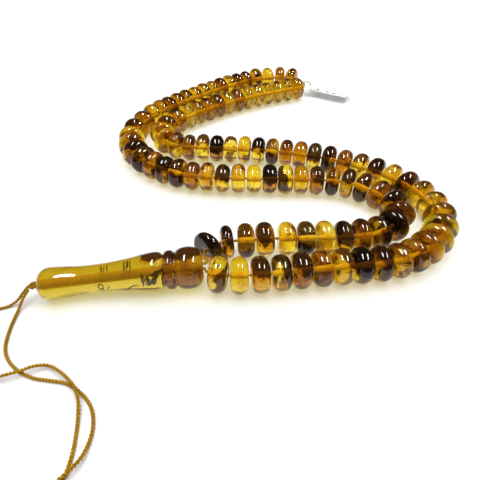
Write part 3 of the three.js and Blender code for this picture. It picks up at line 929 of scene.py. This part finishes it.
def make_held_thread():
    length = IMAM_AXIS.length
    line = [imam_place(-KNOT_REACH, STRAND_OFFSET)]
    line.append(imam_place(length + STRAND_REACH, STRAND_OFFSET))
    line.append(to_frame((*STRAND_TURN_P, BEAD_HEIGHT)))
    line.append(to_frame(BEADS_P[0]["from"]))
    line.extend(to_frame(bead["to"]) for bead in BEADS_P)
    line.extend(to_frame((x, y, BEAD_HEIGHT)) for x, y in FAR_TURN)
    line.extend(to_frame(bead["to"]) for bead in reversed(BEADS_Q))
    line.append(to_frame(BEADS_Q[0]["from"]))
    line.append(to_frame((*STRAND_TURN_Q, BEAD_HEIGHT)))
    line.append(imam_place(length + STRAND_REACH, -STRAND_OFFSET))
    line.append(imam_place(-KNOT_REACH, -STRAND_OFFSET))
    path = Path(rounded(rounded(line)))
    vertices, faces = twisted(path.resampled(HELD_STEP), THREAD_RADIUS * MM, HELD_LAY, 6)
    piece = add_mesh("string_thread", vertices, faces, THREAD)
    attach(piece, "string")
    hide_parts("thread")


make_held_thread()
make_knot("tip_knot", middle_of("imam_knot"), IMAM_AXIS, 1.0 * MM, "imam_knot")

# ---------------------------------------------------------------- tag

CARD = card_material()
TAG_HOLE = Vector((29.3, 61.0, 3.7))
TAG_TIP = Vector((46.5, 51.4, 2.7))
TAG_LENGTH = 21
TAG_WIDTH = 9
TAG_INSET = 2.0
TAG_HOLE_RADIUS = 1.0
TAG_HALF_THICKNESS = 0.09
TAG_COLUMNS, TAG_ROWS = 12, 28
# The printed marks, in millimetres: their line across the card, where they start, their spacing
# and their lift off the middle of the card, and then the half width and length of each.
TAG_MARK_LINE = 2.5
TAG_MARK_START = 2.6
TAG_MARK_SPACING = 1.6
TAG_MARK_LIFT = 0.12
TAG_MARKS = [
    (0.3, 0.5), (0.7, 1.1), (0.5, 0.3), (0.5, 0.3), (0.7, 1.0), (0.3, 0.6), (0.7, 0.9), (0.5, 0.3),
    (0.5, 0.5),
]
LOOP_TOP = Vector((25.7, 59.4, 5.0))
LOOP_BOTTOM = Vector((28.4, 60.6, 4.0))
LOOP_MARGIN = 0.75
LOOP_HALF_WIDTH = 1.3
LOOP_RADIUS = 0.2
LOOP_STEPS = 64


def tag_place(across, along, up):
    return to_frame(TAG_HOLE + align(TAG_TIP - TAG_HOLE) @ Vector((across, along, up)))


def make_tag():
    """A thin card that curls a little, with a punched hole near one end."""
    columns, rows = TAG_COLUMNS, TAG_ROWS
    half = TAG_WIDTH / 2

    def curl(across, along):
        return 0.25 * (across / half) ** 2 + 0.5 * ((along - 8) / 12) ** 2 - 0.2

    vertices, faces, index = [], [], {}
    for layer, lift in ((0, TAG_HALF_THICKNESS), (1, -TAG_HALF_THICKNESS)):
        for row in range(rows + 1):
            for column in range(columns + 1):
                across = -half + TAG_WIDTH * column / columns
                along = -TAG_INSET + TAG_LENGTH * row / rows
                away = math.hypot(across, along)
                if away < TAG_HOLE_RADIUS:
                    scale = TAG_HOLE_RADIUS / max(away, 1e-3)
                    across, along = across * scale, along * scale
                index[layer, row, column] = len(vertices)
                vertices.append(tag_place(across, along, curl(across, along) + lift))
    kept = set()
    for row in range(rows):
        for column in range(columns):
            middle = Vector((
                -half + TAG_WIDTH * (column + 0.5) / columns,
                -TAG_INSET + TAG_LENGTH * (row + 0.5) / rows,
            ))
            if middle.length > 0.75 * TAG_HOLE_RADIUS:
                kept.add((row, column))
    for row, column in kept:
        a, b = (row, column), (row, column + 1)
        c, d = (row + 1, column + 1), (row + 1, column)
        faces.append(tuple(index[(0, *corner)] for corner in (a, b, c, d)))
        faces.append(tuple(index[(1, *corner)] for corner in (d, c, b, a)))
        for start, end, other in (
            (b, a, (row - 1, column)), (c, b, (row, column + 1)),
            (d, c, (row + 1, column)), (a, d, (row, column - 1)),
        ):
            if other not in kept:
                faces.append((index[(0, *start)], index[(0, *end)], index[(1, *end)], index[(1, *start)]))
    piece = add_mesh("card_tag", vertices, faces, CARD)
    piece.data.polygons.foreach_set("use_smooth", [False] * len(piece.data.polygons))
    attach(piece, "tag")
    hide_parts("tag")
    ink_vertices, ink_faces = [], []
    for dash, (width, length) in enumerate(TAG_MARKS):
        along = TAG_MARK_START + dash * TAG_MARK_SPACING
        base = len(ink_vertices)
        for a, b in ((-width, 0), (width, 0), (width, length), (-width, length)):
            spot = (TAG_MARK_LINE + a, along + b)
            ink_vertices.append(tag_place(*spot, curl(*spot) + TAG_MARK_LIFT))
        ink_faces.append((base, base + 1, base + 2, base + 3))
    ink = add_mesh("card_marks", ink_vertices, ink_faces, ink_material(), smooth=False)
    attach(ink, "tag")


def make_tag_loop():
    axis = LOOP_BOTTOM - LOOP_TOP
    half = axis.length / 2 + LOOP_MARGIN
    y = axis.normalized()
    z = y.cross(UP).normalized()
    x = y.cross(z)
    middle = (LOOP_TOP + LOOP_BOTTOM) / 2
    points = []
    for step in range(LOOP_STEPS + 1):
        angle = 2 * math.pi * step / LOOP_STEPS
        points.append(to_frame(middle + x * LOOP_HALF_WIDTH * math.cos(angle) + y * half * math.sin(angle)))
    vertices, faces = twisted(points, LOOP_RADIUS * MM, LOOP_LAY, 6)
    piece = add_mesh("tag_string", vertices, faces, THREAD)
    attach(piece, "tag")
    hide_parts("tag_loop")


make_tag()
make_tag_loop()

# ---------------------------------------------------------------- floor and light

# Sizes in metres, powers in watts, and the world's strength for lighting and through the amber.
FLOOR_SIDE = 3.2
STRIP_SIZE, STRIP_POWER = (0.032, 0.34), 3.6
OVERHEAD_SIZE, OVERHEAD_POWER = (1.2, 1.2), 15.0
WORLD_DIM, WORLD_THROUGH = 0.06, 0.7


def make_floor():
    half = FLOOR_SIDE / 2
    corners = [(-half, -half, 0), (half, -half, 0), (half, half, 0), (-half, half, 0)]
    floor = add_mesh("floor", corners, [(0, 1, 2, 3)], floor_material(), smooth=False)


def make_light(name, place, size, power, mirrored):
    """An area lamp that looks at the middle of the string, its first side across and its second
    front to back. A mirrored lamp is only seen as a streak on polished things, and the other kind
    only lights them."""
    data = bpy.data.lights.new(name, "AREA")
    data.shape = "RECTANGLE"
    data.size, data.size_y = size
    data.energy = power
    light = bpy.data.objects.new(name, data)
    back = Vector(place).normalized()
    across = Vector((0, 1, 0)).cross(back).normalized()
    turn = Matrix((across, back.cross(across), back)).transposed()
    light.matrix_world = Matrix.Translation(place) @ turn.to_4x4()
    light.visible_glossy = mirrored
    light.visible_diffuse = not mirrored
    light.visible_transmission = False
    bpy.context.scene.collection.objects.link(light)


def make_world(dim, through):
    """A studio that lights dimly, is white where it is seen, and bright straight through the amber."""
    world = bpy.data.worlds.new("studio")
    world.use_nodes = True
    tree = world.node_tree
    background = tree.nodes["Background"]
    path = tree.nodes.new("ShaderNodeLightPath")

    def math_node(operation, a, b, clamp=False):
        node = tree.nodes.new("ShaderNodeMath")
        node.operation = operation
        node.use_clamp = clamp
        tree.links.new(a, node.inputs[0])
        if isinstance(b, float):
            node.inputs[1].default_value = b
        else:
            tree.links.new(b, node.inputs[1])
        return node.outputs[0]

    bent = math_node("SUBTRACT", path.outputs["Is Transmission Ray"], path.outputs["Diffuse Depth"], True)
    level = math_node("MULTIPLY", bent, through)
    level = math_node("MAXIMUM", level, path.outputs["Is Camera Ray"])
    level = math_node("MAXIMUM", level, dim)
    tree.links.new(level, background.inputs["Strength"])
    background.inputs["Color"].default_value = (1.0, 1.0, 1.0, 1)
    bpy.context.scene.world = world


make_floor()
make_world(WORLD_DIM, WORLD_THROUGH)
make_light("strip_left", (-0.16, 0.05, 0.55), STRIP_SIZE, STRIP_POWER, mirrored=True)
make_light("strip_right", (0.30, 0.05, 0.52), STRIP_SIZE, STRIP_POWER, mirrored=True)
make_light("overhead", (0.0, 0.08, 0.9), OVERHEAD_SIZE, OVERHEAD_POWER, mirrored=False)
bpy.context.scene.view_settings.view_transform = "Standard"
